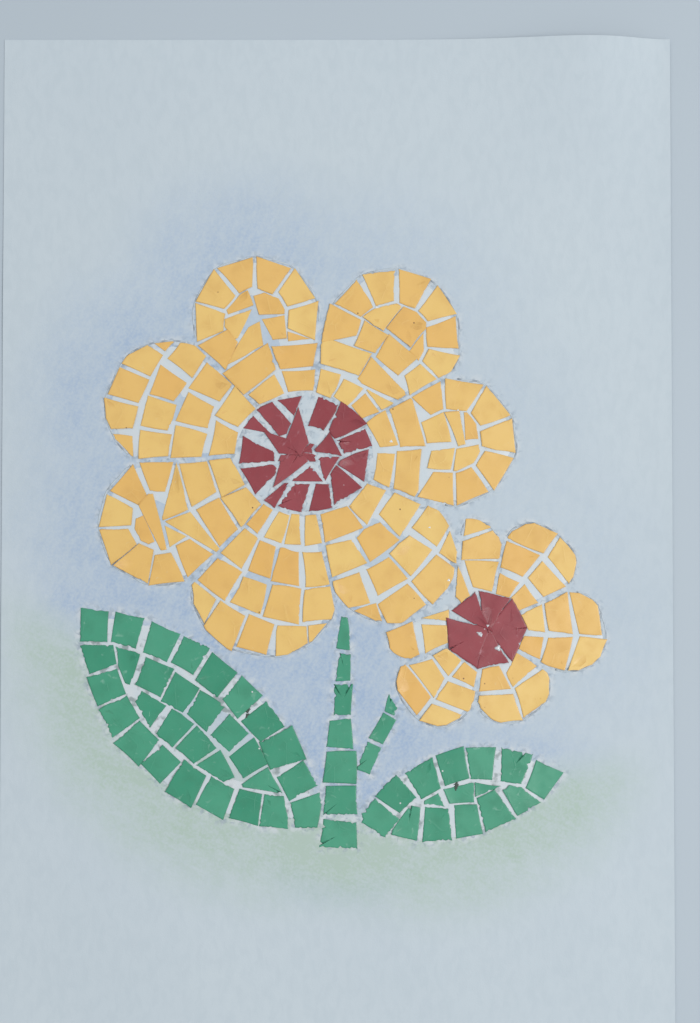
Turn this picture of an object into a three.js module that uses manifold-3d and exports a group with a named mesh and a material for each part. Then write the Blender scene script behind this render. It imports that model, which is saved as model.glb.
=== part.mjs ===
// A paper mosaic picture: a sheet of drawing paper with a large flower, a small flower, their
// stems and two leaves laid on it in hand-cut tiles of glossy coloured paper.
// Millimetres. X runs across the sheet, Y up the picture and Z up from the table that it lies on.
// The origin is under the middle of the sheet.
import * as THREE from "three";
import { mergeVertices } from "three/addons/utils/BufferGeometryUtils.js";
import Module from "manifold-3d";

// The sheet. The picture holds it flat. Its right-hand margin has lifted a little off the table
// beyond the outermost tile. Its top margin rises in a wave beyond the topmost one, and comes
// down again at the corner: the greater the lean, the nearer to the corner the crest is.
const SHEET_WIDTH = 210;
const SHEET_LENGTH = 330;
const SHEET_THICKNESS = 0.25;
const HELD_MARGIN = 0.5;
const CURL_RISE = 0.6;
const WAVE_RISE = 4.4;
const WAVE_LEAN = 5.2;
const MARGIN_STEPS = 8;

// The coloured paper, and the film of paste that has dried under it and between the tiles. The
// film ends a little inside the outer ends of the tiles.
const TILE_THICKNESS = 0.125;
const PASTE_THICKNESS = 0.0625;
const PASTE_MARGIN = 0.25;
const FILM_SETBACK = 1.2;

// How the tiles are cut: the depth of a course, the joint between two tiles, the least joint
// that a later tile is trimmed to, the gap between two petals, how far a corner strays, and how
// far beyond a petal's or a leaf's round edge it may stray.
// A scrap is thrown away when its area is too small, or too small a share of its girth squared.
// The patches that fill what the courses leave open are squares, tried at every step of a grid.
const COURSE_DEPTH = 10.6;
const JOINT = 1.3;
const LEAST_JOINT = 0.9;
const PETAL_GAP = 0.6;
const STRAY = 0.75;
const EDGE_STRAY = 0.8;
const SMALLEST_TILE_AREA = 7;
const SLENDEREST_SHARE = 0.034;
const PATCH_WIDTH = 9;
const PATCH_STEP = 2;

// The large disc: a star of three pointed scraps that overlap left of the middle, wedges right
// of it, and a rim of tiles whose joints lean this way and that, by a share of a tile at most.
// A wedge starts at each of the bearings. The lengths of the heart and the star are shares of
// the disc's half width. The gap is what the petals leave round the disc.
const BIG_DISC = { x: -10, y: 34, width: 43, height: 37, corners: 24, gap: LEAST_JOINT };
const RIM_TILES = 13;
const RIM_LEAN = 0.3;
const HEART_REACH = 0.46;
const HEART_SPIKE = 0.1;
const HEART_WEDGES = [240, 300, 0];
const WEDGE_TURN = 60;
const STAR_SHIFT = -0.12;
const STAR_ARMS = [
  { bearing: 86, reach: 0.8 },
  { bearing: 147, reach: 0.6 },
  { bearing: 240, reach: 0.68 },
];
const STAR_ARM_WIDTH = 0.56;
const STAR_ARM_FOOT = 0.12;

// The small disc: slices that overlap at the middle, with the petals pasted close up to it
const SLICES = 7;
const SMALL_DISC = { x: 46.5, y: -21, width: 25.5, height: 25, corners: SLICES, gap: 0.4 };
const SLICE_JOINT = 0.5;
const MIDDLE_OVERLAP = 2;

// Each petal in turn: its bearing in degrees from +X, how far its tip is from the flower's
// middle, the radius of its round lobe, the tiles round the lobe's rim, and the tiles side by
// side in each ring from the disc outwards
const BIG_PETALS = [
  { name: "big_petal_right", bearing: 5, reach: 66.5, lobe: 20.5, rim: 7, rings: [2, 2, 2, 1] },
  { name: "big_petal_upper_right", bearing: 53, reach: 67.5, lobe: 22, rim: 8, rings: [3, 2, 2, 1] },
  { name: "big_petal_upper_left", bearing: 110, reach: 65.5, lobe: 20.5, rim: 7, rings: [2, 2, 2, 1] },
  { name: "big_petal_left", bearing: 160, reach: 65, lobe: 19.5, rim: 0, rings: [2, 3, 4, 5] },
  { name: "big_petal_lower_left", bearing: 205, reach: 70, lobe: 20, rim: 7, rings: [2, 2, 2, 1] },
  { name: "big_petal_bottom", bearing: 253, reach: 65, lobe: 23, rim: 0, rings: [4, 4, 4, 5] },
  { name: "big_petal_lower_right", bearing: 310, reach: 62, lobe: 20, rim: 0, rings: [2, 3, 4, 4] },
];
const SMALL_PETALS = [
  { name: "small_petal_right", bearing: -1, reach: 38, lobe: 12, rim: 0, rings: [2, 2, 2] },
  { name: "small_petal_upper_right", bearing: 53, reach: 38.5, lobe: 12, rim: 0, rings: [2, 2, 2] },
  { name: "small_petal_top", bearing: 103, reach: 34.5, lobe: 10.5, rim: 0, rings: [2, 1] },
  { name: "small_petal_left", bearing: 177, reach: 32, lobe: 10, rim: 0, rings: [2, 2] },
  { name: "small_petal_lower_left", bearing: 229, reach: 35.5, lobe: 12, rim: 0, rings: [2, 2, 2] },
  { name: "small_petal_bottom", bearing: 294, reach: 31, lobe: 11.5, rim: 0, rings: [2, 2] },
];
const RIM_SWEEP = 128;

// The leaves: each lies between two arcs that meet at its tip and at its base, and stands out
// from the straight line between them by one bulge over that line and another under it
const LEFT_LEAF = { name: "left_leaf", tip: [-81, -14], base: [-3, -82], over: 18, under: 25 };
const RIGHT_LEAF = { name: "right_leaf", tip: [71, -65.5], base: [6, -81], over: 15, under: 12.5 };
const LEAF_TILE_LENGTH = 10.8;

// The stems: each is a row of tiles from a top end to a bottom end, with a width at either end
const STEM = { name: "stem", top: [2.5, -17], width: 4, bottom: [0.5, -89.5], spread: 13, tiles: 7 };
const SIDE_STEM = { name: "side_stem", top: [21, -38], width: 5, bottom: [8, -66], spread: 6, tiles: 3 };

const PAPER = new THREE.MeshStandardMaterial({ color: "#c4d0d8", roughness: 0.85, metalness: 0 });
const YELLOW = new THREE.MeshStandardMaterial({ color: "#e0b874", roughness: 0.35, metalness: 0 });
const RED = new THREE.MeshStandardMaterial({ color: "#994c54", roughness: 0.35, metalness: 0 });
const GREEN = new THREE.MeshStandardMaterial({ color: "#4b9676", roughness: 0.35, metalness: 0 });

const ROUND_STEPS = 24;
const LOBE_CUTS = 11;
const SAME_POINT = 0.02;
const pasteTop = SHEET_THICKNESS + PASTE_THICKNESS;
const tileTop = pasteTop + TILE_THICKNESS;
const wasm = await Module();
wasm.setup();
const picture = new THREE.Group();

// Hand cutting: the same run of uneven numbers from -1 to 1 every time
let seed = 20;
function uneven() {
  seed = (Math.imul(seed, 1664525) + 1013904223) >>> 0;
  return (2 * seed) / 2 ** 32 - 1;
}

function stray(corner) {
  return corner.add(new THREE.Vector2(uneven(), uneven()).multiplyScalar(STRAY));
}

function polar(middle, radius, degrees) {
  const angle = THREE.MathUtils.degToRad(degrees);
  return new THREE.Vector2(Math.cos(angle), Math.sin(angle)).multiplyScalar(radius).add(middle);
}

function area(outline) {
  return outline.length < 3 ? 0 : THREE.ShapeUtils.area(outline);
}

// What is left of a convex outline behind a line, given by a point on it and the way it faces
function trim(outline, point, facing) {
  const ahead = outline.map((corner) => corner.clone().sub(point).dot(facing));
  const kept = [];
  outline.forEach((corner, i) => {
    const next = (i + 1) % outline.length;
    if (ahead[i] <= 0) kept.push(corner);
    if (ahead[i] * ahead[next] < 0)
      kept.push(corner.clone().lerp(outline[next], ahead[i] / (ahead[i] - ahead[next])));
  });
  return kept.filter((corner, i) => corner.distanceTo(kept.at(i - 1)) > SAME_POINT);
}

// The sides of an outline that runs anticlockwise: a point on each and the way it faces
function sides(outline) {
  return outline.map((corner, i) => {
    const along = outline[(i + 1) % outline.length].clone().sub(corner).normalize();
    return { point: corner, facing: new THREE.Vector2(along.y, -along.x) };
  });
}

// A convex outline cut back along each side of a boundary, by a margin inside it
function inside(outline, boundary, margin) {
  return sides(boundary).reduce(
    (kept, { point, facing }) => trim(kept, point.clone().addScaledVector(facing, -margin), facing),
    outline,
  );
}

// True where all of the other outline lies beyond one side of this one, a gap away
function standsClear(outline, other, gap) {
  return sides(outline).some(({ point, facing }) =>
    other.every((corner) => corner.clone().sub(point).dot(facing) >= gap),
  );
}

// An outline cut to fit beside what is already laid: for each piece in its way it is trimmed
// along one side of that piece, the side that leaves the most of it
function cutToFit(outline, laid, gap) {
  let kept = outline;
  for (const other of laid) {
    if (area(kept) === 0) return kept;
    if (standsClear(kept, other, gap) || standsClear(other, kept, gap)) continue;
    kept = sides(other)
      .map(({ point, facing }) =>
        trim(kept, point.clone().addScaledVector(facing, gap), facing.clone().negate()),
      )
      .reduce((most, cut) => (area(cut) > area(most) ? cut : most));
  }
  return kept;
}

// One course of tiles between two radii, from one bearing to another. Its joints may lean, by
// a share of a tile either way.
function course(middle, inner, outer, from, to, count, leaning = 0) {
  const turn = (to - from) / count;
  const lean = Array.from({ length: count }, () => (leaning > 0 ? leaning * turn * uneven() : 0));
  return lean.map((start, i) => {
    const end = lean[(i + 1) % count];
    const bearing = from + i * turn;
    const corners = [
      stray(polar(middle, inner, bearing - start)),
      stray(polar(middle, outer, bearing + start)),
      stray(polar(middle, outer, bearing + turn + end)),
      stray(polar(middle, inner, bearing + turn - end)),
    ];
    return inside(corners, corners, JOINT / 2);
  });
}

// What is left of a tile in a field beside what is already laid, or nothing if it is a scrap
function fitted(tile, field, laid) {
  const cut = cutToFit(inside(tile, field, PASTE_MARGIN), laid, LEAST_JOINT);
  const girth = cut.reduce((sum, corner, i) => sum + corner.distanceTo(cut.at(i - 1)), 0);
  return area(cut) < Math.max(SMALLEST_TILE_AREA, SLENDEREST_SHARE * girth ** 2) ? [] : cut;
}

// Lays tiles in a field one after another
function lay(tiles, field, laid) {
  for (const tile of tiles) {
    const cut = fitted(tile, field, laid);
    if (cut.length > 0) laid.push(cut);
  }
}

// Fills what is still open in a field: of all the patches that could be cut to fit, the
// largest is laid, and so on until only scraps would fit
function layPatches(field, laid, bearing) {
  const { min, max } = new THREE.Box2().setFromPoints(field);
  for (;;) {
    let largest = [];
    for (let x = min.x; x < max.x; x += PATCH_STEP) {
      for (let y = min.y; y < max.y; y += PATCH_STEP) {
        const middle = new THREE.Vector2(x, y);
        const patch = [45, 135, 225, 315].map((corner) =>
          polar(middle, PATCH_WIDTH * Math.SQRT1_2, bearing + corner),
        );
        const cut = fitted(patch, field, laid);
        if (area(cut) > area(largest)) largest = cut;
      }
    }
    if (largest.length === 0) return;
    laid.push(largest);
  }
}

function plate(outline, bottom, top) {
  const shape = new THREE.Shape(outline);
  const geometry = new THREE.ExtrudeGeometry(shape, { depth: top - bottom, bevelEnabled: false });
  return geometry.translate(0, 0, bottom);
}

function solid(geometry) {
  const bare = geometry.clone();
  bare.deleteAttribute("normal");
  bare.deleteAttribute("uv");
  const merged = mergeVertices(bare);
  const vertProperties = new Float32Array(merged.attributes.position.array);
  const triVerts = new Uint32Array(merged.index.array);
  return new wasm.Manifold(new wasm.Mesh({ numProp: 3, vertProperties, triVerts }));
}

function addPiece(name, geometry, material) {
  const mesh = new THREE.Mesh(geometry, material);
  mesh.name = name;
  picture.add(mesh);
}

function addTile(name, outline, material) {
  addPiece(name, plate(outline, SHEET_THICKNESS, tileTop), material);
}

function addJoined(name, joined, material) {
  const { vertProperties, triVerts } = joined.getMesh();
  const geometry = new THREE.BufferGeometry();
  geometry.setAttribute("position", new THREE.BufferAttribute(vertProperties, 3));
  geometry.setIndex(new THREE.BufferAttribute(triVerts, 1));
  addPiece(name, geometry, material);
}

function tileSolid(outline) {
  return solid(plate(outline, SHEET_THICKNESS, tileTop));
}

function filmSolid(outline) {
  return solid(plate(outline, SHEET_THICKNESS, pasteTop));
}

// The tiles of a petal or a leaf, held together by the dried film of their field
function addField(name, tiles, film, material) {
  addJoined(name, tiles.reduce((joined, tile) => joined.add(tileSolid(tile)), film), material);
}

// What is already on the sheet, for later pieces to clear
const taken = [];

// The sheet: a box whose columns and rows lie close together in the margins that lift
function addSheet() {
  const held = new THREE.Box2().setFromPoints(taken.flat()).max.addScalar(HELD_MARGIN);
  const [right, top] = [SHEET_WIDTH / 2, SHEET_LENGTH / 2];
  const lines = (from, to) =>
    Array.from({ length: MARGIN_STEPS }, (_, i) =>
      THREE.MathUtils.lerp(from, to, (i + 1) / MARGIN_STEPS),
    );
  const columns = [-right, 0, ...lines(0, held.x), ...lines(held.x, right)];
  const rows = [-top, held.y, ...lines(held.y, top)];
  const [across, up] = [columns.length - 1, rows.length - 1];
  const geometry = new THREE.BoxGeometry(across, up, SHEET_THICKNESS, across, up);
  const position = geometry.attributes.position;
  for (let i = 0; i < position.count; i++) {
    const x = columns[Math.round(position.getX(i) + across / 2)];
    const y = rows[Math.round(position.getY(i) + up / 2)];
    const edge = Math.max(0, (x - held.x) / (right - held.x));
    const head = Math.max(0, (y - held.y) / (top - held.y));
    const crest = Math.sin(Math.PI * (x / SHEET_WIDTH + 0.5) ** WAVE_LEAN) ** 2;
    const rise = CURL_RISE * edge ** 2 + WAVE_RISE * crest * head ** 2;
    position.setXYZ(i, x, y, position.getZ(i) + SHEET_THICKNESS / 2 + rise);
  }
  addPiece("paper_sheet", geometry, PAPER);
}

// A disc's outline, with a corner every so many degrees, moved out by a margin
function discOutline({ x, y, width, height, corners }, margin) {
  return Array.from({ length: corners }, (_, i) => {
    const angle = (2 * Math.PI * i) / corners;
    const across = (width / 2 + margin) * Math.cos(angle);
    return new THREE.Vector2(x + across, y + (height / 2 + margin) * Math.sin(angle));
  });
}

// How far a disc's straight sides are from its middle, on a bearing
function discRadius({ width, height, corners }, bearing) {
  const out = polar(new THREE.Vector2(), 1, bearing);
  return Math.cos(Math.PI / corners) / Math.hypot((2 * out.x) / width, (2 * out.y) / height);
}

// A petal's field: the cone from the flower's middle out to the round lobe and a margin round
// it, between the rays that part the petal from its neighbours
function petalField(middle, petal, from, to, margin) {
  const away = petal.reach - petal.lobe;
  const lobeMiddle = polar(middle, away, petal.bearing);
  const round = 180 - THREE.MathUtils.radToDeg(Math.acos(petal.lobe / away));
  const field = [middle];
  for (let i = 0; i <= LOBE_CUTS; i++) {
    const bearing = petal.bearing + round * ((2 * i) / LOBE_CUTS - 1);
    field.push(polar(lobeMiddle, petal.lobe + margin, bearing));
  }
  return [from - 90, to + 90].reduce((kept, bearing) => {
    const facing = polar(new THREE.Vector2(), 1, bearing);
    return trim(kept, middle.clone().addScaledVector(facing, -PETAL_GAP / 2), facing);
  }, field);
}

// The petals round a disc. Where a lobe has a rim, its tiles are laid first, then come the
// rings, which are trimmed to the field, and last the patches.
function addPetals(disc, petals) {
  const middle = new THREE.Vector2(disc.x, disc.y);
  const fields = petals.map((petal, i) => {
    const last = petals.at(i - 1).bearing - (i === 0 ? 360 : 0);
    const next = petals[(i + 1) % petals.length].bearing + (i === petals.length - 1 ? 360 : 0);
    const [from, to] = [(last + petal.bearing) / 2, (petal.bearing + next) / 2];
    const [field, filmField] = [EDGE_STRAY, -FILM_SETBACK].map((margin) =>
      cutToFit(petalField(middle, petal, from, to, margin), taken, LEAST_JOINT),
    );
    const laid = [discOutline(disc, disc.gap - LEAST_JOINT)];
    const rimDepth = petal.rim > 0 ? COURSE_DEPTH : 0;
    if (petal.rim > 0) {
      const lobeMiddle = polar(middle, petal.reach - petal.lobe, petal.bearing);
      const [first, final] = [petal.bearing - RIM_SWEEP, petal.bearing + RIM_SWEEP];
      const [inner, outer] = [petal.lobe - rimDepth, petal.lobe + JOINT / 2];
      lay(course(lobeMiddle, inner, outer, first, final, petal.rim), field, laid);
    }
    const start = discRadius(disc, petal.bearing) - JOINT / 2;
    const depth = (petal.reach - rimDepth - start) / petal.rings.length;
    petal.rings.forEach((count, ring) => {
      const inner = start + ring * depth;
      lay(course(middle, inner, inner + depth, from, to, count), field, laid);
    });
    layPatches(field, laid, petal.bearing);
    const film = filmSolid(filmField).subtract(filmSolid(discOutline(disc, PASTE_MARGIN)));
    addField(petal.name, laid.slice(1), film, YELLOW);
    return field;
  });
  taken.push(...fields);
}

// One pointed arm of the star: a triangle whose foot lies across the far side of the middle
function starArm(middle, { bearing, reach }, unit) {
  const foot = polar(middle, -STAR_ARM_FOOT * unit, bearing);
  const half = (STAR_ARM_WIDTH * unit) / 2;
  const [left, right] = [90, -90].map((side) => polar(foot, half, bearing + side));
  return [polar(middle, reach * unit, bearing), stray(left), stray(right)];
}

// The large disc. All of it is laid out round, and squashed to its height.
function addBigDisc(disc) {
  const unit = disc.width / 2;
  const middle = new THREE.Vector2(disc.x, disc.y);
  const squash = disc.height / disc.width;
  const squashed = (outline) =>
    outline.map((corner) => new THREE.Vector2(corner.x, disc.y + squash * (corner.y - disc.y)));
  const starMiddle = new THREE.Vector2(disc.x + STAR_SHIFT * unit, disc.y);
  const star = STAR_ARMS.map((arm) => squashed(starArm(starMiddle, arm, unit)));
  const reach = (HEART_REACH + HEART_SPIKE) * unit;
  const wedges = HEART_WEDGES.map((bearing) => {
    const corners = [
      polar(middle, JOINT, bearing + WEDGE_TURN / 2),
      stray(polar(middle, reach, bearing)),
      stray(polar(middle, reach, bearing + WEDGE_TURN)),
    ];
    const wedge = cutToFit(squashed(corners), star, LEAST_JOINT);
    return inside(wedge, wedge, LEAST_JOINT / 2);
  });
  wedges.forEach((wedge, i) => addTile(`big_disc_heart_${i + 1}`, wedge, RED));
  const rim = course(middle, HEART_REACH * unit, unit + JOINT / 2, 0, 360, RIM_TILES, RIM_LEAN);
  const laid = [...star, ...wedges];
  lay(rim.map(squashed), discOutline(disc, PASTE_MARGIN), laid);
  const tiles = laid.slice(star.length + wedges.length);
  tiles.forEach((tile, i) => addTile(`big_disc_rim_${i + 1}`, tile, RED));
  addJoined("big_disc_star", star.map(tileSolid).reduce((joined, arm) => joined.add(arm)), RED);
}

// The small disc: slices that overlap at the middle and part towards the edge
function addSmallDisc(disc) {
  const middle = new THREE.Vector2(disc.x, disc.y);
  const turn = 360 / SLICES;
  const outer = (disc.width + JOINT) / 2;
  const slices = Array.from({ length: SLICES }, (_, i) => {
    const corners = [
      polar(middle, -MIDDLE_OVERLAP, (i + 0.5) * turn),
      stray(polar(middle, outer, i * turn)),
      stray(polar(middle, outer, (i + 1) * turn)),
    ];
    return inside(inside(corners, corners, SLICE_JOINT / 2), discOutline(disc, 0), 0);
  });
  addJoined("small_disc", slices.map(tileSolid).reduce((joined, slice) => joined.add(slice)), RED);
}

// One of a leaf's two arcs, over or under its chord: its middle, its radius and the bearings
// between which it runs
function leafArc(leaf, bulge, side) {
  const tip = new THREE.Vector2(...leaf.tip);
  const base = new THREE.Vector2(...leaf.base);
  const chord = base.clone().sub(tip);
  const across = new THREE.Vector2(-chord.y, chord.x).normalize();
  const outward = across.multiplyScalar(side * Math.sign(across.y));
  const radius = (chord.lengthSq() / 4 + bulge ** 2) / (2 * bulge);
  const middle = tip.add(base).multiplyScalar(0.5).addScaledVector(outward, bulge - radius);
  const bearing = THREE.MathUtils.radToDeg(outward.angle());
  const half = THREE.MathUtils.radToDeg(Math.asin(chord.length() / 2 / radius));
  return { middle, radius, from: bearing - half, to: bearing + half };
}

// A leaf: a course of tiles along each edge, then the rows between them, which run along the
// upper edge first and fill up along the lower one, and last the patches
function addLeaf(leaf) {
  const edges = [leafArc(leaf, leaf.over, 1), leafArc(leaf, leaf.under, -1)];
  const [field, filmField] = [EDGE_STRAY, -FILM_SETBACK].map((margin) => {
    const whole = edges.flatMap(({ middle, radius, from, to }) =>
      Array.from({ length: ROUND_STEPS }, (_, i) =>
        polar(middle, radius + margin, THREE.MathUtils.lerp(from, to, i / ROUND_STEPS)),
      ),
    );
    return cutToFit(whole, taken, LEAST_JOINT);
  });
  const laid = [];
  const layRow = ({ middle, radius, from, to }, row) => {
    const outer = radius - row * COURSE_DEPTH;
    const run = THREE.MathUtils.degToRad(to - from) * outer;
    const count = Math.max(1, Math.round(run / LEAF_TILE_LENGTH));
    lay(course(middle, outer - COURSE_DEPTH, outer + JOINT / 2, from, to, count), field, laid);
  };
  edges.forEach((edge) => layRow(edge, 0));
  const rows = Math.ceil((leaf.over + leaf.under) / COURSE_DEPTH);
  for (const edge of edges) {
    for (let row = 1; row < rows; row++) layRow(edge, row);
  }
  layPatches(field, laid, edges[0].from);
  addField(leaf.name, laid, filmSolid(filmField), GREEN);
  taken.push(field);
}

// A stem: four-sided tiles in a row, wider towards the bottom
function addStem(stem) {
  const top = new THREE.Vector2(...stem.top);
  const bottom = new THREE.Vector2(...stem.bottom);
  const across = bottom.clone().sub(top).normalize().rotateAround(new THREE.Vector2(), Math.PI / 2);
  const corner = (share, side) => {
    const half = (side * THREE.MathUtils.lerp(stem.width, stem.spread, share)) / 2;
    return stray(top.clone().lerp(bottom, share).addScaledVector(across, half));
  };
  for (let i = 0; i < stem.tiles; i++) {
    const [start, end] = [i / stem.tiles, (i + 1) / stem.tiles];
    const corners = [corner(end, -1), corner(end, 1), corner(start, 1), corner(start, -1)];
    const cut = cutToFit(inside(corners, corners, JOINT / 2), taken, LEAST_JOINT);
    addTile(`${stem.name}_${i + 1}`, cut, GREEN);
    taken.push(cut);
  }
}

addPetals(BIG_DISC, BIG_PETALS);
addPetals(SMALL_DISC, SMALL_PETALS);
addBigDisc(BIG_DISC);
addSmallDisc(SMALL_DISC);
addStem(STEM);
addStem(SIDE_STEM);
addLeaf(LEFT_LEAF);
addLeaf(RIGHT_LEAF);
addSheet();

export default picture;
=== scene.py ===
import bpy
import numpy as np
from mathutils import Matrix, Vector
from mathutils.geometry import convex_hull_2d


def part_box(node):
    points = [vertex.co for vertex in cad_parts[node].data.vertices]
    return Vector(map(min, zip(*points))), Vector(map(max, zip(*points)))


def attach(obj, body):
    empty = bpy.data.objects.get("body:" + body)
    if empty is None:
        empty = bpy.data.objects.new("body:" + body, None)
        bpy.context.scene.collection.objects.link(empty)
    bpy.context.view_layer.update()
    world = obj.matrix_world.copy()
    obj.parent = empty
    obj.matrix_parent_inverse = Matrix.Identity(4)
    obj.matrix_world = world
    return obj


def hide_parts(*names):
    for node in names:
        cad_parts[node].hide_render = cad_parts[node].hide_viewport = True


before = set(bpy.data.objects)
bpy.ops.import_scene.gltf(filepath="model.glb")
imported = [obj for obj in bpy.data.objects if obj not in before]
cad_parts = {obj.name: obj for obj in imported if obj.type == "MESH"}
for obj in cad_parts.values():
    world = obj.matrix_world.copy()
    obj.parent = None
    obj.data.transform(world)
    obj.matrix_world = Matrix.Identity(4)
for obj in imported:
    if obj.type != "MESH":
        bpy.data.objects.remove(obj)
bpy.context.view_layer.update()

scene = bpy.context.scene

# The view. The picture lies on a table and is seen from straight above, from so near that its
# foot comes out a little larger than its head.
MM = 0.001
IMAGE_HEIGHT = 1023
PIXELS_PER_MM = 3.19
VIEW_MIDDLE = Vector((4.1, 16.0, 0)) * MM
VIEW_DISTANCE = 450 * MM
VIEW_TILT = np.radians(1.4)
SENSOR_HEIGHT = 36

view = bpy.data.cameras.new("view")
view.sensor_fit = "VERTICAL"
view.sensor_height = SENSOR_HEIGHT
view.lens = SENSOR_HEIGHT * VIEW_DISTANCE / (IMAGE_HEIGHT / PIXELS_PER_MM * MM)
camera = bpy.data.objects.new("view", view)
camera.location = VIEW_MIDDLE + VIEW_DISTANCE * Vector((0, -np.sin(VIEW_TILT), np.cos(VIEW_TILT)))
camera.rotation_euler = (VIEW_TILT, 0, 0)
scene.collection.objects.link(camera)
scene.camera = camera
scene.view_settings.view_transform = "Standard"

# The light: one broad lamp high beyond the right-hand edge, so that edges shade their left
# sides and the left of the sheet is darker, a weak one over the upper left, and an even glow.
LAMPS = [
    {"name": "key_lamp", "place": (0.8, -0.1, 1.3), "width": 0.9, "watts": 15.1},
    {"name": "fill_lamp", "place": (-0.5, 0.9, 1.4), "width": 1.4, "watts": 5.2},
]
LAMP_COLOUR = (1.0, 0.985, 0.97)
GLOW_COLOUR = (0.93, 0.97, 1.0, 1.0)
GLOW_STRENGTH = 0.42

for lamp in LAMPS:
    light = bpy.data.lights.new(lamp["name"], "AREA")
    light.size = lamp["width"]
    light.energy = lamp["watts"]
    light.color = LAMP_COLOUR
    holder = bpy.data.objects.new(lamp["name"], light)
    holder.location = lamp["place"]
    holder.rotation_euler = (-Vector(lamp["place"])).to_track_quat("-Z", "Y").to_euler()
    scene.collection.objects.link(holder)
scene.world = scene.world or bpy.data.worlds.new("glow")
scene.world.use_nodes = True
glow = scene.world.node_tree.nodes["Background"]
glow.inputs["Color"].default_value = GLOW_COLOUR
glow.inputs["Strength"].default_value = GLOW_STRENGTH

# The table: a plain pale top. It is only the stage, just under the sheet.
TABLE_WIDTH = 4.0
TABLE_DROP = 0.05 * MM
TABLE_PALE, TABLE_DEEP = (180, 192, 202), (174, 186, 196)


def tint(*display):
    """Linear light of a display colour given in 255ths. A share over 0.04045 is
    ((share + 0.055) / 1.055) to the power of 2.4, and a smaller one is share / 12.92."""
    share = np.array(display) / 255
    light = np.where(share > 0.04045, ((share + 0.055) / 1.055) ** 2.4, share / 12.92)
    return (*light.tolist(), 1.0)


class Finish:
    """A material in the making: its shader, with what is the same all over set on the
    shader's own sockets, and the nodes that vary it over the surface."""

    def __init__(self, name, constant):
        self.material = bpy.data.materials.new(name)
        self.material.use_nodes = True
        self.tree = self.material.node_tree
        self.shader = self.tree.nodes["Principled BSDF"]
        for socket, value in constant.items():
            self.shader.inputs[socket].default_value = value
        self.place = self.mapped(0, (MM, MM, MM))

    def node(self, kind, inputs, **settings):
        made = self.tree.nodes.new(kind)
        for setting, value in settings.items():
            setattr(made, setting, value)
        for socket, value in inputs.items():
            if isinstance(value, bpy.types.NodeSocket):
                self.tree.links.new(value, made.inputs[socket])
            else:
                made.inputs[socket].default_value = value
        return made

    def mapped(self, turn, size):
        """Object coordinates in the frame of a pattern: turned about Z by so many degrees, and
        measured along each axis in units of the given size."""
        place = self.node("ShaderNodeTexCoord", {}).outputs["Object"]
        inputs = {"Vector": place, "Rotation": (0, 0, np.radians(turn)), "Scale": size}
        return self.node("ShaderNodeMapping", inputs, vector_type="TEXTURE").outputs[0]

    def noise(self, size, detail=3.0, distortion=0.0, place=None):
        """Soft noise from 0 to 1 whose blotches are about so many millimetres across."""
        inputs = {"Vector": place or self.place, "Scale": 1 / size, "Detail": detail}
        inputs["Distortion"] = distortion
        return self.node("ShaderNodeTexNoise", inputs).outputs[0]

    def own(self, name):
        """A value that the mesh carries at each of its points."""
        return self.node("ShaderNodeAttribute", {}, attribute_name=name).outputs["Fac"]

    def ramp(self, value, start, end, low=0.0, high=1.0):
        """A smooth step of a value, from low at the start to high at the end."""
        inputs = {"Value": value, "From Min": start, "From Max": end, "To Min": low, "To Max": high}
        return self.node("ShaderNodeMapRange", inputs, interpolation_type="SMOOTHSTEP").outputs[0]

    def times(self, first, second):
        return self.node("ShaderNodeMath", {0: first, 1: second}, operation="MULTIPLY").outputs[0]

    def mix(self, amount, first, second):
        inputs = {0: amount, 6: first, 7: second}
        return self.node("ShaderNodeMix", inputs, data_type="RGBA").outputs[2]

    def bump(self, height, depth, below=None):
        """Relief from a height of 0 to 1, so many millimetres deep, on top of another."""
        inputs = {"Height": height, "Distance": depth * MM, "Strength": 1.0}
        if below is not None:
            inputs["Normal"] = below
        return self.node("ShaderNodeBump", inputs).outputs[0]

    def wear(self, varying):
        for socket, value in varying.items():
            self.tree.links.new(value, self.shader.inputs[socket])
        return self.material


top_finish = Finish("table_top", {"Roughness": 0.6})
table_colour = top_finish.mix(top_finish.noise(150), tint(*TABLE_PALE), tint(*TABLE_DEEP))
table_material = top_finish.wear({"Base Color": table_colour})
half = TABLE_WIDTH / 2
table_mesh = bpy.data.meshes.new("table")
table_corners = [(-half, -half), (half, -half), (half, half), (-half, half)]
table_mesh.from_pydata([(x, y, -TABLE_DROP) for x, y in table_corners], [], [(0, 1, 2, 3)])
table_mesh.materials.append(table_material)
table = bpy.data.objects.new("table", table_mesh)
scene.collection.objects.link(table)

# The sheet of white drawing paper. It is shaded with coloured pencils, blue round the flowers
# and green below the leaves. Its pasted part is held flat, its right-hand margin lifts a
# little, and its top margin rises in a wave and comes down again at the corner.
SHEET_THICKNESS = 0.25 * MM
SHEET_STEP = 1.5 * MM
EDGE_ROUND = 0.04 * MM
HELD_MARGIN = 0.5 * MM
CURL_RISE = 0.6 * MM
WAVE_RISE = 4.4 * MM
WAVE_LEAN = 5.2
COCKLE_RISE = 0.25 * MM
COCKLE_LENGTH = 70 * MM
COCKLE_START = 25 * MM
COCKLE_SLANT, CROSS_SLANT, CROSS_STEEPNESS = 0.6, 0.4, 1.3
SAME_LEVEL = 0.01 * MM
EDGE_STEP = 1.0 * MM
BLUE_REACH = 40 * MM
BLUE_STEM_REACH = 24 * MM
BLUE_LEAF_REACH = 20 * MM
BLUE_ROUND_FLOWERS, BLUE_ROUND_STEMS, BLUE_ABOVE_LEAVES = 0.55, 0.6, 0.35
BLUE_FULL, BLUE_THIN, BLUE_THINNEST = -30 * MM, 45 * MM, 0.3
DISC_CLEARING = 7 * MM
GREEN_REACH = 34 * MM
PASTE_REACH = 2.5 * MM
CHORD_BLUR = 14 * MM
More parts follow.
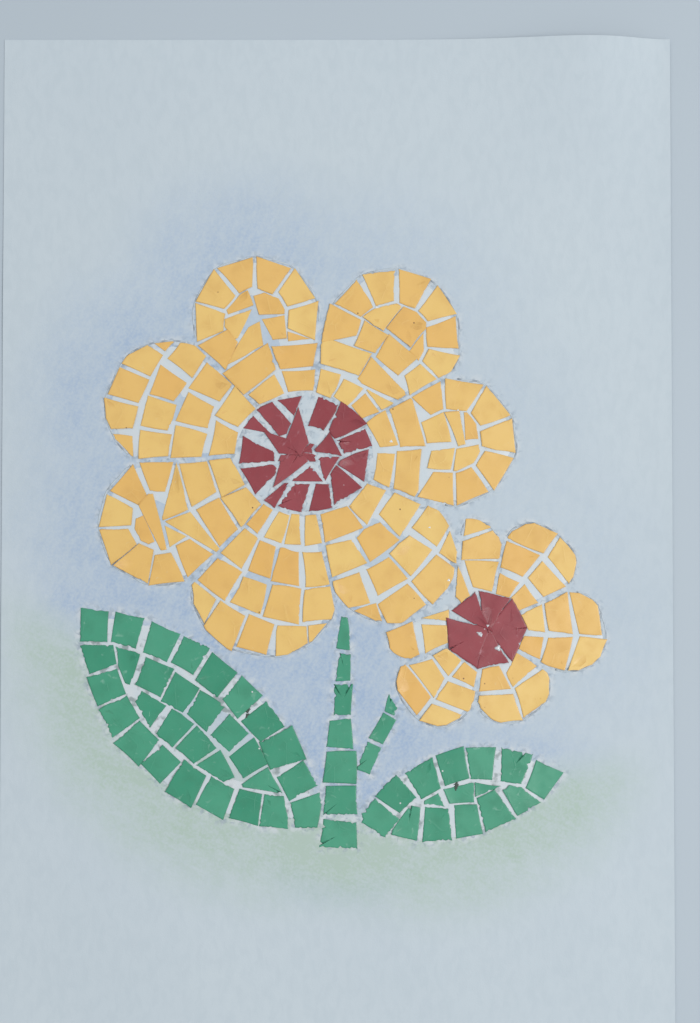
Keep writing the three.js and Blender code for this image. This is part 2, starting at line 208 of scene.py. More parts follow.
PAPER_PALE, PAPER_DEEP = (197, 208, 215), (189, 201, 210)
PAPER_GREEN_SHADE, PAPER_BLUE_SHADE = (174, 193, 184), (156, 177, 205)
# The last grey is graphite smudge and painted shade in patches right round the tile fields.
PAPER_MOTTLE, PASTE_WHITE, SMUDGE_AND_SHADE_GREY = (181, 194, 203), (204, 211, 216), (146, 160, 174)
BLUE_STROKES, GREEN_STROKES = 62, -28
STROKE_SIZE = (6 * MM, 1.6 * MM, MM)
FELT_SIZE = (2.2 * MM, 5 * MM, MM)
GRAIN_SIZE, PATCH_SIZE, BLOTCH_SIZE, PASTE_BLOTCH, SMUDGE_AND_SHADE_SIZE = 0.8, 10, 60, 3.0, 1.8
TOOTH_SIZE, TOOTH_DEPTH, SWELL_SIZE, SWELL_DEPTH = 0.5, 0.03, 9, 0.12


def cad_faces(node):
    """Corners and triangles of a node: its places, rounded to a thousandth of a millimetre
    and each kept once, and its triangles with their corners renumbered to match."""
    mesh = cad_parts[node].data
    mesh.calc_loop_triangles()
    places = np.empty(len(mesh.vertices) * 3)
    mesh.vertices.foreach_get("co", places)
    triangles = np.empty(len(mesh.loop_triangles) * 3, dtype=np.int32)
    mesh.loop_triangles.foreach_get("vertices", triangles)
    corners, kept = np.unique(np.round(places.reshape(-1, 3), 6), axis=0, return_inverse=True)
    return corners, kept.ravel()[triangles.reshape(-1, 3)]


def outlines(node, top=True):
    """The closed outlines, anticlockwise, of a node's flat top or underside. A side that only
    one of those faces has is a side of an outline, and sides are followed head to tail."""
    corners, triangles = cad_faces(node)
    level = corners[:, 2].max() if top else corners[:, 2].min()
    flat = triangles[(np.abs(corners[triangles, 2] - level) < SAME_LEVEL).all(axis=1)]
    if not top:
        flat = flat[:, ::-1]
    runs = np.concatenate([flat[:, [i, (i + 1) % 3]] for i in range(3)])
    sides = {tuple(run) for run in runs.tolist()}
    following = {start: end for start, end in sorted(sides) if (end, start) not in sides}
    loops = []
    while following:
        corner = next(iter(following))
        loop = []
        while corner in following:
            loop.append(corner)
            corner = following.pop(corner)
        loops.append(corners[loop, :2])
    return loops


def along(outline, step):
    """Points along a closed outline: each side is parted evenly into steps of about the given
    length. Returns the points, the side each is on, and how far along that side it is."""
    run = np.roll(outline, -1, axis=0) - outline
    counts = np.maximum(1, np.round(np.linalg.norm(run, axis=1) / step)).astype(int)
    side = np.repeat(np.arange(len(outline)), counts)
    share = (np.arange(counts.sum()) - (counts.cumsum() - counts)[side]) / counts[side]
    return outline[side] + share[:, None] * run[side], side, share


def distance(places, outline):
    """Distance of each place from the nearest point of an outline."""
    edge = along(outline, EDGE_STEP)[0]
    return np.sqrt(((places[:, None] - edge[None]) ** 2).sum(axis=2)).min(axis=1)


def closeness(places, outline, reach):
    """How near each place is to an outline: a smooth step from 1 on it to 0 at the reach."""
    near = np.clip(1 - distance(places, outline) / reach, 0, 1)
    return near ** 2 * (3 - 2 * near)


def nearest(places, found, reach):
    return np.max([closeness(places, outline, reach) for outline in found], axis=0)


def below_chord(places, outline):
    """1 below the straight line from an outline's leftmost point to its rightmost, 0 above
    it, and a straight slope between the two."""
    left, right = outline[outline[:, 0].argmin()], outline[outline[:, 0].argmax()]
    run = (right - left) / np.linalg.norm(right - left)
    above = run[0] * (places[:, 1] - left[1]) - run[1] * (places[:, 0] - left[0])
    return np.clip(0.5 - above / CHORD_BLUR, 0, 1)


def nodes_named(*starts):
    return sorted(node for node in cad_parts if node.startswith(starts))


def grid_lines(low, high, step):
    """Evenly spaced lines from low to high, with one more just inside either end."""
    count = int(round((high - low) / step))
    return np.concatenate([[low], np.linspace(low + EDGE_ROUND, high - EDGE_ROUND, count), [high]])


def add_piece(name, mesh, materials, replaced=()):
    for material in materials:
        mesh.materials.append(material)
    mesh.shade_smooth()
    piece = bpy.data.objects.new(name, mesh)
    scene.collection.objects.link(piece)
    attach(piece, "root")
    if replaced:
        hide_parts(*replaced)


petal_nodes = nodes_named("big_petal", "small_petal")
leaf_nodes = nodes_named("left_leaf", "right_leaf")
stem_nodes = nodes_named("stem", "side_stem")
disc_nodes = nodes_named("big_disc", "small_disc")
petal_fields = [outline for node in petal_nodes for outline in outlines(node, top=False)]
leaf_fields = [outline for node in leaf_nodes for outline in outlines(node, top=False)]
stem_fields = [outline for node in stem_nodes for outline in outlines(node, top=False)]
disc_fields = [outline for node in disc_nodes for outline in outlines(node, top=False)]
low, high = (np.array(corner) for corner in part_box("paper_sheet"))
tile_boxes = [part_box(node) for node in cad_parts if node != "paper_sheet"]
held = np.max([box[1][:2] for box in tile_boxes], axis=0) + HELD_MARGIN
x, y = np.meshgrid(grid_lines(low[0], high[0], SHEET_STEP), grid_lines(low[1], high[1], SHEET_STEP))
sheet_places = np.stack([x.ravel(), y.ravel()], axis=1)
near_tiles = nearest(sheet_places, petal_fields + leaf_fields + stem_fields, COCKLE_START)


def sheet_rise(x, y, near):
    """Height of the underside. The right-hand margin rises as the square of the way from where
    the sheet is held to its edge. The top margin rises likewise, times a crest: the squared
    sine of a power of the way across, which puts the crest near the right. Two crossed waves
    make the other free margins cockle, most where no tile is near."""
    edge = np.clip((x - held[0]) / (high[0] - held[0]), 0, None)
    head = np.clip((y - held[1]) / (high[1] - held[1]), 0, None)
    crest = np.sin(np.pi * ((x - low[0]) / (high[0] - low[0])) ** WAVE_LEAN) ** 2
    wave = 2 * np.pi / COCKLE_LENGTH
    cockle = 2 + np.sin(wave * (x + COCKLE_SLANT * y))
    cockle = (cockle + np.sin(wave * (CROSS_STEEPNESS * y - CROSS_SLANT * x) + 1)) / 4
    loose = (1 - near) * (1 - edge) * (1 - head)
    return CURL_RISE * edge ** 2 + WAVE_RISE * crest * head ** 2 + COCKLE_RISE * loose ** 2 * cockle


rise = sheet_rise(x, y, near_tiles.reshape(x.shape))
under = np.stack([x, y, rise], axis=-1)
over = under + (0, 0, SHEET_THICKNESS)


def sheet_mesh(name, over, under):
    """A closed sheet between two grids of points: a face between each four neighbours, those
    of the lower grid turned over, and a wall round the border."""
    rows, columns = over.shape[:2]
    index = np.arange(rows * columns).reshape(rows, columns)
    four = [index[:-1, :-1], index[:-1, 1:], index[1:, 1:], index[1:, :-1]]
    face = np.stack([part.ravel() for part in four], axis=1)
    rim = np.concatenate([index[0, :-1], index[:-1, -1], index[-1, :0:-1], index[:0:-1, 0]])
    on = np.roll(rim, -1)
    lower = rows * columns
    wall = np.stack([rim + lower, on + lower, on, rim], axis=1)
    places = np.concatenate([over.reshape(-1, 3), under.reshape(-1, 3)])
    mesh = bpy.data.meshes.new(name)
    mesh.from_pydata(places, [], np.concatenate([face, face[:, ::-1] + lower, wall]).tolist())
    return mesh


def carry(mesh, name, values):
    """Stores one value for each point of a mesh, for a material to read by name."""
    mesh.attributes.new(name, "FLOAT", "POINT").data.foreach_set("value", values)


paper_mesh = sheet_mesh("drawing_sheet", over, under)
leaf_green = sum(
    closeness(sheet_places, leaf, GREEN_REACH) * below_chord(sheet_places, leaf)
    for leaf in leaf_fields
)
leaf_blue = sum(
    closeness(sheet_places, leaf, BLUE_LEAF_REACH) * (1 - below_chord(sheet_places, leaf))
    for leaf in leaf_fields
)
flower_blue = nearest(sheet_places, petal_fields, BLUE_REACH)
stem_blue = nearest(sheet_places, stem_fields, BLUE_STEM_REACH)
laid_on = np.interp(sheet_places[:, 0], [BLUE_FULL, BLUE_THIN], [1, BLUE_THINNEST])
bare = 1 - BLUE_ROUND_FLOWERS * flower_blue * laid_on
bare *= (1 - BLUE_ROUND_STEMS * stem_blue) * (1 - BLUE_ABOVE_LEAVES * np.clip(leaf_blue, 0, 1))
all_blue = (1 - bare) * (1 - nearest(sheet_places, disc_fields, DISC_CLEARING))
shades = {
    "blue": all_blue * (1 - np.clip(leaf_green, 0, 1)),
    "green": leaf_green,
    "paste": nearest(sheet_places, petal_fields + leaf_fields + stem_fields + disc_fields, PASTE_REACH),
}
for name, shade in shades.items():
    carry(paper_mesh, name, np.concatenate([shade, np.zeros_like(shade)]))

paper = Finish("drawing_paper", {"Roughness": 0.85, "Specular IOR Level": 0.3})
grain = paper.ramp(paper.noise(GRAIN_SIZE, 3.0), 0.35, 0.65, 0.72, 1.18)
patches = paper.ramp(paper.noise(PATCH_SIZE, 5.0), 0.3, 0.7, 0.75, 1.15)
plain_paper = paper.mix(paper.noise(BLOTCH_SIZE, 3.0), tint(*PAPER_PALE), tint(*PAPER_DEEP))
felt = paper.noise(1.0, 5.0, 0.5, paper.mapped(0, FELT_SIZE))
mottle = paper.ramp(felt, 0.35, 0.7, 0.0, 0.3)
shaded = paper.mix(mottle, plain_paper, tint(*PAPER_MOTTLE))
pencils = [("green", GREEN_STROKES, PAPER_GREEN_SHADE), ("blue", BLUE_STROKES, PAPER_BLUE_SHADE)]
for name, turn, colour in pencils:
    stroke_place = paper.mapped(turn, STROKE_SIZE)
    strokes = paper.ramp(paper.noise(1.0, 4.0, 0.6, stroke_place), 0.3, 0.7, 0.76, 1.12)
    pencil = paper.times(paper.times(strokes, grain), patches)
    shaded = paper.mix(paper.times(paper.own(name), pencil), shaded, tint(*colour))
paste_patches = paper.ramp(paper.noise(PASTE_BLOTCH, 4.0), 0.4, 0.65)
shaded = paper.mix(paper.times(paper.own("paste"), paste_patches), shaded, tint(*PASTE_WHITE))
# Graphite smudge and painted shade: darker grey in patches right round the tile fields, where the
# tiles' edges shade the paper.
smudges_and_shade = paper.ramp(paper.noise(SMUDGE_AND_SHADE_SIZE, 5.0, 0.6), 0.48, 0.66, 0.0, 0.8)
shaded = paper.mix(paper.times(paper.own("paste"), smudges_and_shade), shaded, tint(*SMUDGE_AND_SHADE_GREY))
tooth = paper.bump(paper.noise(TOOTH_SIZE, 4.0), TOOTH_DEPTH)
paper_relief = paper.bump(paper.noise(SWELL_SIZE, 2.0), SWELL_DEPTH, tooth)
paper_material = paper.wear({"Base Color": shaded, "Normal": paper_relief})
add_piece("drawing_sheet", paper_mesh, [paper_material], ["paper_sheet"])

# The pencil drawing: a soft grey line round the free end of every petal, drawn before the
# coloured paper was pasted on, and worn thin in places.
LINE_WIDTH = 0.55 * MM
LINE_HEIGHT = 0.012 * MM
LINE_WAVER = 0.15 * MM
LINE_OFFSET = 0.35 * MM
LINE_CLEARANCE = 3 * MM
LINE_SMOOTHING = 3
LEAD_PATCH_SIZE = 3.0
LEAD_GREY = (138, 148, 160)


def outward(points):
    """The way out of a closed run of points at each: square to the line past its neighbours."""
    run = np.roll(points, -1, axis=0) - np.roll(points, 1, axis=0)
    run = run / np.linalg.norm(run, axis=1, keepdims=True)
    return np.stack([run[:, 1], -run[:, 0]], axis=1)


def join_mesh(name, forms):
    """One mesh of several forms, each a tuple of its places, four-sided faces, three-sided
    faces, material number, shade, and how near its rim each point is. Points are numbered on
    from one form to the next."""
    starts = np.cumsum([0] + [len(form[0]) for form in forms])
    faces = []
    for start, form in zip(starts, forms):
        faces += (form[1] + start).tolist() + (form[2] + start).tolist()
    mesh = bpy.data.meshes.new(name)
    mesh.from_pydata(np.concatenate([form[0] for form in forms]), [], faces)
    numbers = [np.full(len(form[1]) + len(form[2]), form[3], dtype=np.int32) for form in forms]
    mesh.polygons.foreach_set("material_index", np.concatenate(numbers))
    carry(mesh, "shade", np.concatenate([np.full(len(form[0]), form[4]) for form in forms]))
    carry(mesh, "rim", np.concatenate([form[5] for form in forms]))
    return mesh


def hull(outline):
    """The outline with its notches bridged: its corners that a taut thread would touch."""
    return outline[convex_hull_2d([Vector(point) for point in outline])]


def free_run(outline, others):
    """The longest run of the smoothed hull of an outline that stays clear of the others, and
    the way out at each of its points. Each point is the mean of its neighbours on the hull."""
    points = along(hull(outline), EDGE_STEP)[0]
    spread = range(-LINE_SMOOTHING, LINE_SMOOTHING + 1)
    points = np.mean([np.roll(points, shift, axis=0) for shift in spread], axis=0)
    clear = np.min([distance(points, other) for other in others], axis=0) > LINE_CLEARANCE
    order = np.roll(np.arange(len(points)), -np.argmin(clear))
    runs = np.split(order, np.flatnonzero(np.diff(clear[order])) + 1)
    longest = max((run for run in runs if clear[run[0]]), key=len)
    return points[longest], outward(points)[longest]


def line_form(points, way, draws):
    """A thin flat bead: a rectangle carried along points that are moved out by the offset and
    by a slow waver, a sum of two sines, and closed at both ends."""
    turn = 2 * np.pi * np.arange(len(points)) / len(points)
    waver = LINE_WAVER * (np.sin(3 * turn + draws.uniform(0, 6)) + np.sin(7 * turn)) / 2
    path = points + (LINE_OFFSET + waver)[:, None] * way
    half = np.array([-1, 1, 1, -1]) * LINE_WIDTH / 2
    level = SHEET_THICKNESS + np.array([0, 0, 1, 1]) * LINE_HEIGHT
    flat = path[:, None] + half[None, :, None] * way[:, None]
    heights = np.broadcast_to(level[None, :, None], (*flat.shape[:2], 1))
    places = np.concatenate([flat, heights], axis=2).reshape(-1, 3)
    index = np.arange(len(points) * 4).reshape(-1, 4)
    beside = np.roll(index, -1, axis=1)
    quads = np.stack([index[:-1], index[1:], beside[1:], beside[:-1]], axis=-1).reshape(-1, 4)
    quads = np.concatenate([quads, [index[0], index[-1, ::-1]]])
    return places, quads, np.empty((0, 3), dtype=int), 0, 0.0, np.zeros(len(places))


line_draws = np.random.default_rng(3)
lead = Finish("pencil_lead", {"Roughness": 0.7})
lead_patches = lead.ramp(lead.noise(LEAD_PATCH_SIZE, 4.0), 0.42, 0.66, 0.0, 0.9)
lead_colour = lead.mix(lead_patches, tint(*PAPER_DEEP), tint(*LEAD_GREY))
lead_material = lead.wear({"Base Color": lead_colour})
lines = []
for field in petal_fields:
    others = [other for other in petal_fields + disc_fields if other is not field]
    lines.append(line_form(*free_run(field, others), line_draws))
line_mesh = join_mesh("pencil_lines", lines)
add_piece("pencil_lines", line_mesh, [lead_material])

# The petals: tiles cut by hand with scissors from glossy yellow paper and pasted down one by
# one, lifting a little at some corners, on a film of white paste that has dried between them.
FILM_THICKNESS = 0.03 * MM
FILM_WAVE = 0.01 * MM
FILM_DEPTH = 0.1 * MM
FILM_UNDER_SHARES, FILM_TOP_SHARES = [0.5, 0.94], [0.91, 0.7, 0.5, 0.3, 0.1]
TILE_FOOT = 0.27 * MM
TILE_STEP = 0.6 * MM
TILE_THICKNESS = 0.12 * MM
TILE_EDGE_SHARE = 0.012
TILE_EDGE_LEVELS = np.array([0, 0.2, 0.8])
TILE_RIM_RINGS, TILE_INNER_SHARES = 4, [0.9, 0.64, 0.36]
OVERLAP_CHANCE, OVERLAP_SPREAD = 0.16, 1.1
CORNER_LIFT = 0.32 * MM
LIFT_START = 0.35
LIFTED_CORNERS = 2
TILE_WAVE = 0.018 * MM
TILE_WAVE_LENGTH = 6 * MM
TILE_SLOPE = 0.008
TILE_TURN = np.radians(2.2)
TILE_SHIFT = 0.2 * MM
SIDE_BOW = 0.1 * MM
CLEAN_CUT, RAGGED_CUT = 0.03 * MM, 0.1 * MM
SLICE_OVERLAP = 1.5 * MM
NOTCH_TURN = -0.1
YELLOW_PALE, YELLOW_WARM = (230, 195, 118), (226, 179, 101)
YELLOW_DEEP, YELLOW_SMUDGE, SPECK_BROWN = (206, 160, 88), (224, 205, 160), (120, 84, 58)
PASTE_STAIN, PETAL_STAIN_START, YELLOW_SMUDGE_START, BROWN_SHARE = (176, 182, 182), 0.66, 0.68, 0.03
HUE_PATCH, CREASE_SPACING, SMEAR_SIZE, SPECK_SPACING = 6, 7, 2.6, 2.2


def closed_form(rings, number, shade, rims=0):
    """A closed surface through rings of points that all run anticlockwise, from the middle of
    the underside out and over to the middle of the top. Four neighbours on two rings make a
    face, and a fan about the mean of the first and the last ring closes each pole. The first
    so many rings count as its rim."""
    count, around = rings.shape[:2]
    index = np.arange(count * around).reshape(count, around)
    on = np.roll(index, -1, axis=1)
    quads = np.stack([index[:-1], on[:-1], on[1:], index[1:]], axis=-1).reshape(-1, 4)
    foot, crown = np.full(around, count * around), np.full(around, count * around + 1)
    under = np.stack([on[0], index[0], foot], axis=1)
    over = np.stack([index[-1], on[-1], crown], axis=1)
    places = np.concatenate([rings.reshape(-1, 3), rings[[0, -1]].mean(axis=1)])
    rim = (np.arange(len(places)) < rims * around).astype(float)
    return places, quads, np.concatenate([under, over]), number, shade, rim


def cut_edge(outline, rough, draws):
    """A hand-cut outline: each side bows in or out as half a sine, and its points stray
    inwards by uneven amounts, more on some sides than on others, while the corners stay."""
    points, side, share = along(outline, TILE_STEP)
    run = np.roll(outline, -1, axis=0) - outline
    run = run / np.linalg.norm(run, axis=1, keepdims=True)
    bow = draws.normal(0, SIDE_BOW, len(outline))[side] * np.sin(np.pi * share)
    ragged = rough * 2 * draws.uniform(size=len(outline)) ** 2
    nick = ragged[side] * draws.exponential(1.0, len(points)) * (share > 0)
    return points + (bow - nick)[:, None] * np.stack([run[:, 1], -run[:, 0]], axis=1)[side]


def tile_form(outline, foot, rough, draws):
    """A paper tile: its cut edge drawn in towards the middle ring by ring. It is pasted down a
    little turned and shifted. All of it leans by a slope and waves as a sine, and towards a few
    of its corners it lifts as a square. Some tiles are larger and lie on top of those beside
    them."""
    turn = draws.normal(0, TILE_TURN)
    turned = np.array([[np.cos(turn), np.sin(turn)], [-np.sin(turn), np.cos(turn)]])
    centre = outline.mean(axis=0)
    outline = centre + (outline - centre) @ turned + draws.normal(0, TILE_SHIFT, 2)
    edge = cut_edge(outline, rough, draws)
    middle = edge.mean(axis=0)
    on_top = draws.uniform() < OVERLAP_CHANCE
    foot += on_top * TILE_THICKNESS
    inset = 1 - TILE_EDGE_SHARE
    shares = np.array([inset, 1, 1, inset, *TILE_INNER_SHARES]) * (OVERLAP_SPREAD if on_top else 1)
    levels = np.ones(len(shares)) * TILE_THICKNESS
    levels[:3] = TILE_EDGE_LEVELS * TILE_THICKNESS
    flat = middle + shares[:, None, None] * (edge - middle)
    out = flat - middle
    slope = draws.normal(0, TILE_SLOPE, 2)
    heights = out @ slope - (out @ slope).min()
    angle = draws.uniform(0, 2 * np.pi)
    wave = 2 * np.pi / TILE_WAVE_LENGTH * np.array([np.cos(angle), np.sin(angle)])
    heights = heights + TILE_WAVE * (1 + np.sin(out @ wave + angle))
    for corner in draws.choice(len(outline), LIFTED_CORNERS, replace=False):
        reach = outline[corner] - middle
        share = out @ reach / (reach @ reach)
        bend = np.clip((share - LIFT_START) / (1 - LIFT_START), 0, None) ** 2
        heights = heights + CORNER_LIFT * draws.uniform() ** 2 * bend
    heights = foot + levels[:, None] + heights
    rings = np.concatenate([flat, heights[..., None]], axis=2)
    return closed_form(rings, 0, draws.uniform(), TILE_RIM_RINGS)


def film_form(outline, draws):
    """The dried paste under a field of tiles: the hull of the field drawn in to its middle ring
    by ring, from inside its edge, with a crossed sine wave on top and its rim in the paper."""
    edge = along(hull(outline), EDGE_STEP)[0]
    middle = edge.mean(axis=0)
    shares = np.array(FILM_UNDER_SHARES + FILM_TOP_SHARES)
    levels = np.repeat([-FILM_DEPTH, FILM_THICKNESS], [len(FILM_UNDER_SHARES), len(FILM_TOP_SHARES)])
    flat = middle + shares[:, None, None] * (edge - middle)
    wave = FILM_WAVE * np.sin(flat[..., 0] / MM) * np.sin(flat[..., 1] / MM) * (levels > 0)[:, None]
    heights = SHEET_THICKNESS + levels[:, None] + wave
    return closed_form(np.concatenate([flat, heights[..., None]], axis=2), 1, draws.uniform())


def slices(outline):
    """The convex slices of a star of tiles that overlap at its middle. The outline is parted
    at its notches, and each part gets a tip across the middle of them."""
    before = outline - np.roll(outline, 1, axis=0)
    after = np.roll(before, -1, axis=0)
    cross = before[:, 0] * after[:, 1] - before[:, 1] * after[:, 0]
    turn = cross / np.linalg.norm(before, axis=1) / np.linalg.norm(after, axis=1)
    notches = np.flatnonzero(turn < NOTCH_TURN)
    if len(notches) < 2:
        return [outline]
    middle = outline[notches].mean(axis=0)
    found = []
    for start, end in zip(notches, np.roll(notches, -1)):
        run = outline[np.arange(start, end + (end <= start) * len(outline) + 1) % len(outline)]
        way = run.mean(axis=0) - middle
        found.append(np.vstack([run, middle - SLICE_OVERLAP * way / np.linalg.norm(way)]))
    return found


def paper_finish(name, pale, warm, deep, smudge, smudge_start, speck, speck_share):
    """Glossy coloured paper: one of two hues for each tile, mottling, a rim darkened in patches
    as painted shade along each cut edge, fine creases, pale smears of paste where a noise passes
    a mark, and specks in a few cells of a pattern."""
    made = Finish(name, {"Coat Weight": 0.12, "Coat Roughness": 0.22, "Specular IOR Level": 0.4})
    hue = made.mix(made.own("shade"), tint(*pale), tint(*warm))
    hue = made.mix(made.ramp(made.noise(HUE_PATCH, 4.0), 0.4, 0.8, 0.0, 0.45), hue, tint(*deep))
    # Painted shade: the rim of each tile is darkened in patches, for the thin shadow along its edge.
    painted_rim_shade = made.times(made.own("rim"), made.ramp(made.noise(4, 3.0), 0.35, 0.65, 0.15, 0.8))
    hue = made.mix(painted_rim_shade, hue, tint(*deep))
    inputs = {"Vector": made.place, "Scale": 1 / CREASE_SPACING, "Randomness": 1.0}
    crack = made.node("ShaderNodeTexVoronoi", inputs, feature="DISTANCE_TO_EDGE").outputs[0]
    crease = made.ramp(crack, 0.0, 0.035, 1.0, 0.0)
    crease = made.times(crease, made.ramp(made.noise(HUE_PATCH, 3.0), 0.48, 0.62))
    hue = made.mix(made.times(crease, made.ramp(made.noise(2.0), 0.2, 0.8, 0.1, 0.4)), hue, tint(*pale))
    smear = made.ramp(made.noise(SMEAR_SIZE, 5.0, 0.8), smudge_start, smudge_start + 0.16, 0.0, 0.7)
    hue = made.mix(smear, hue, tint(*smudge))
    cells = made.node("ShaderNodeTexVoronoi", {"Vector": made.place, "Scale": 1 / SPECK_SPACING})
    chosen = made.node("ShaderNodeSeparateColor", {0: cells.outputs["Color"]}).outputs[0]
    dot = made.ramp(cells.outputs["Distance"], 0.06, 0.16, 1.0, 0.0)
    dot = made.times(dot, made.ramp(chosen, 1 - speck_share, 1.0 - speck_share * 0.5))
    hue = made.mix(dot, hue, tint(*speck))
    relief = made.bump(made.noise(1.6, 3.0), 0.02, made.bump(crease, 0.03))
    gloss = made.ramp(made.noise(3.0, 3.0), 0.3, 0.7, 0.32, 0.5)
    return made.wear({"Base Color": hue, "Normal": relief, "Roughness": gloss})


def film_finish(name, stain, stain_start):
    """Dried paste over drawing paper: whitish, shinier than the paper, and stained in places."""
    made = Finish(name, {"Coat Weight": 0.2, "Coat Roughness": 0.3})
    hue = made.mix(made.ramp(made.noise(5, 3.0), 0.3, 0.7), tint(*PASTE_WHITE), tint(*PAPER_PALE))
    stained = made.ramp(made.noise(3.4, 4.0), stain_start, stain_start + 0.15, 0.0, 0.75)
    hue = made.mix(stained, hue, tint(*stain))
    relief = made.bump(made.noise(1.2, 4.0), 0.03)
    gloss = made.ramp(made.noise(4), 0.3, 0.7, 0.4, 0.7)
    return made.wear({"Base Color": hue, "Normal": relief, "Roughness": gloss})


def add_tiles(node, rough, materials, draws, film=False, foot=TILE_FOOT, spread=1.0):
    """The tiles of one node, each cut to its outline there, and the film that they lie on. A
    spread over 1 moves every outline away from the middle of the node's box by that factor."""
    middle = np.mean([corner[:2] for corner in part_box(node)], axis=0)
    forms = []
    for outline in outlines(node):
        for i, tile in enumerate(slices(middle + spread * (outline - middle))):
            forms.append(tile_form(tile, foot + i * FILM_THICKNESS, rough, draws))
    if film:
        forms += [film_form(outline, draws) for outline in outlines(node, top=False)]
    add_piece(node + "_tiles", join_mesh(node + "_tiles", forms), materials, [node])


petal_draws = np.random.default_rng(11)
yellow_material = paper_finish(
    "yellow_paper", YELLOW_PALE, YELLOW_WARM, YELLOW_DEEP,
    YELLOW_SMUDGE, YELLOW_SMUDGE_START, SPECK_BROWN, BROWN_SHARE,
)
petal_film = film_finish("petal_film", PASTE_STAIN, PETAL_STAIN_START)
for node in petal_nodes:
    add_tiles(node, CLEAN_CUT, [yellow_material, petal_film], petal_draws, film=True)

# The two flower hearts: tiles of glossy dark red paper, cut as wedges and slices with ragged
# edges. The large one is pasted straight on the sheet, the small one over its petals' ends.
RED_PALE, RED_WARM, RED_DEEP = (151, 69, 77), (141, 57, 65), (116, 43, 53)
SMUDGE_ROSE, ROSE_START, SPECK_WHITE, WHITE_SHARE = (186, 138, 148), 0.64, (214, 212, 216), 0.02
SMALL_DISC_FOOT = TILE_FOOT + TILE_THICKNESS
SMALL_DISC_SPREAD = 1.02

disc_draws = np.random.default_rng(12)
red_material = paper_finish(
    "red_paper", RED_PALE, RED_WARM, RED_DEEP, SMUDGE_ROSE, ROSE_START, SPECK_WHITE, WHITE_SHARE
)
for node in nodes_named("big_disc"):
    add_tiles(node, RAGGED_CUT, [red_material], disc_draws)
add_tiles(
    "small_disc", RAGGED_CUT, [red_material], disc_draws,
    foot=SMALL_DISC_FOOT, spread=SMALL_DISC_SPREAD,
)

# The stems and leaves: tiles of glossy green paper with torn-looking edges. The stem tiles
# are pasted one above another, and the leaves lie on a film of paste that has gathered dirt.
GREEN_PALE, GREEN_WARM, GREEN_DEEP = (74, 156, 126), (58, 144, 114), (42, 120, 92)
SMUDGE_MINT, MINT_START = (128, 178, 158), 0.62
DIRT_GREY, DIRT_START = (118, 134, 134), 0.52

leaf_draws = np.random.default_rng(13)
green_material = paper_finish(
    "green_paper", GREEN_PALE, GREEN_WARM, GREEN_DEEP,
    SMUDGE_MINT, MINT_START, SPECK_WHITE, WHITE_SHARE,
)
leaf_film = film_finish("leaf_film", DIRT_GREY, DIRT_START)
for node in stem_nodes:
    add_tiles(node, RAGGED_CUT, [green_material], leaf_draws)
for node in leaf_nodes:
    add_tiles(node, RAGGED_CUT, [green_material, leaf_film], leaf_draws, film=True)

# Beads of white paste that was squeezed out between tiles and dried glossy: a few on the
# petals, and taller ones that show between the slices of the small flower's heart. On the few on
# the petals the bright white is partly painted highlight, for the glint of the paste.
BEADS = [(12.5, 80), (38, 47.5), (17, 38), (29, 11), (35, -5.5)]
HEART_BEADS = [(44.9, -22.6), (44.4, -22.0), (47.1, -19.7), (50.3, -26.7)]
BEAD_WIDTH, HEART_BEAD_WIDTH = 1.3, 1.8
BEAD_HEIGHT, HEART_BEAD_HEIGHT = 0.16 * MM, 0.9 * MM
BEAD_FOOT = 0.36 * MM
BEAD_STEPS = 20
BEAD_SHARES = np.array([0.5, 1, 0.9, 0.7, 0.4, 0.15])
BEAD_LEVELS = np.array([0, 0, 0.35, 0.7, 0.93, 1])
BEAD_SIZES, BEAD_FLATTENING, BEAD_WAVER = (0.6, 1.1), (0.5, 1), 0.25
BEAD_WHITE_AND_GLINT = (226, 230, 233)


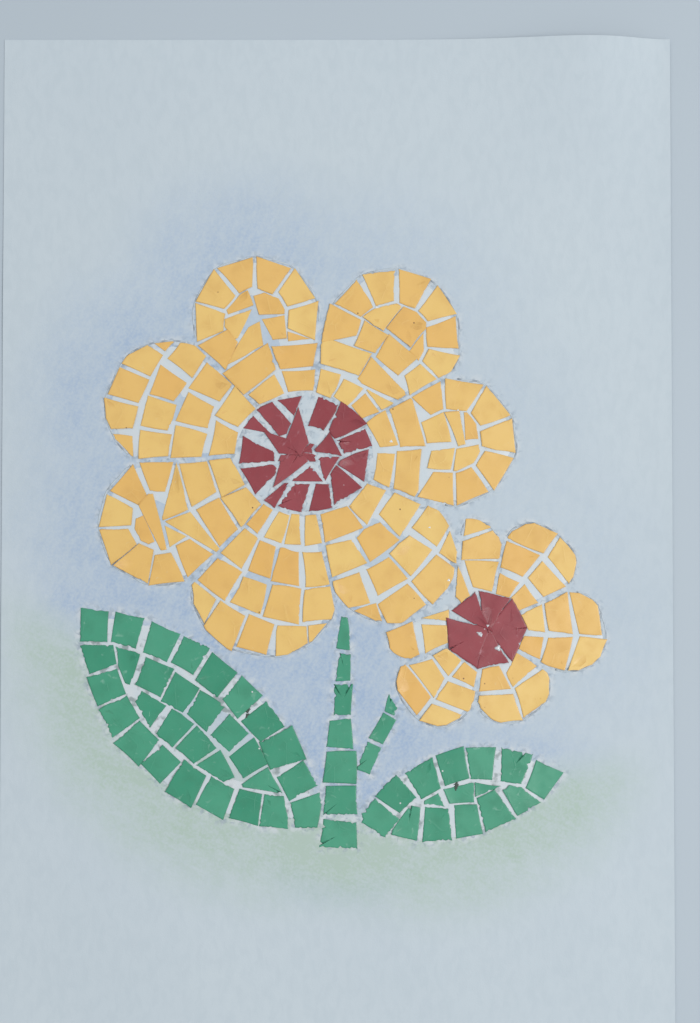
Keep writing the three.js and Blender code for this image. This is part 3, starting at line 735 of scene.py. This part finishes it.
def bead_form(place, draws, width, height=BEAD_HEIGHT):
    """A low dome on an oval whose edge wavers as a sine: rings of it, drawn in and raised as
    the arc of a circle. Its place and width are in millimetres."""
    turn = 2 * np.pi * np.arange(BEAD_STEPS) / BEAD_STEPS
    half_width = width * MM / 2 * draws.uniform(*BEAD_SIZES)
    reach = half_width * (1 + BEAD_WAVER * np.sin(3 * turn + draws.uniform(0, 6)))
    oval = np.stack([np.cos(turn), draws.uniform(*BEAD_FLATTENING) * np.sin(turn)], axis=1)
    edge = oval * reach[:, None]
    flat = np.array(place) * MM + BEAD_SHARES[:, None, None] * edge
    levels = BEAD_FOOT + BEAD_LEVELS * height
    heights = np.broadcast_to(levels[:, None, None], (*flat.shape[:2], 1))
    return closed_form(np.concatenate([flat, heights], axis=2), 0, draws.uniform())


bead_draws = np.random.default_rng(14)
bead_finish = Finish("dried_paste", {"Roughness": 0.25, "Coat Weight": 0.5})
# Dried paste white, and on the petals' beads also a painted highlight for the paste's glint.
bead_hue_and_glint = bead_finish.mix(bead_finish.noise(0.8), tint(*BEAD_WHITE_AND_GLINT), tint(*PASTE_WHITE))
bead_material = bead_finish.wear({"Base Color": bead_hue_and_glint})
bead_forms = [bead_form(place, bead_draws, BEAD_WIDTH) for place in BEADS]
bead_forms += [
    bead_form(place, bead_draws, HEART_BEAD_WIDTH, HEART_BEAD_HEIGHT) for place in HEART_BEADS
]
bead_mesh = join_mesh("paste_beads", bead_forms)
add_piece("paste_beads", bead_mesh, [bead_material])

# Two smears of dark dirt that have dried on the leaves. Each is a crooked streak of low
# specks that run into each other, each a small dome like the beads.
SMEARS = [((-27.4, -45.2), (-28.3, -48.6)), ((37.3, -68.6), (37.0, -70.6))]
SMEAR_SPECKS = 9
SMEAR_WANDER = 0.18
SMEAR_WIDTH = 1.05
DIRT_DARK, DIRT_BROWN = (44, 58, 54), (84, 92, 84)

smear_draws = np.random.default_rng(15)
smear_places = np.concatenate([np.linspace(start, end, SMEAR_SPECKS) for start, end in SMEARS])
smear_places += smear_draws.normal(0, SMEAR_WANDER, smear_places.shape)
dirt_finish = Finish("dried_dirt", {"Roughness": 0.7})
dirt_hue = dirt_finish.mix(dirt_finish.noise(0.5), tint(*DIRT_DARK), tint(*DIRT_BROWN))
dirt_material = dirt_finish.wear({"Base Color": dirt_hue})
smear_forms = [bead_form(place, smear_draws, SMEAR_WIDTH) for place in smear_places]
add_piece("dirt_smears", join_mesh("dirt_smears", smear_forms), [dirt_material])
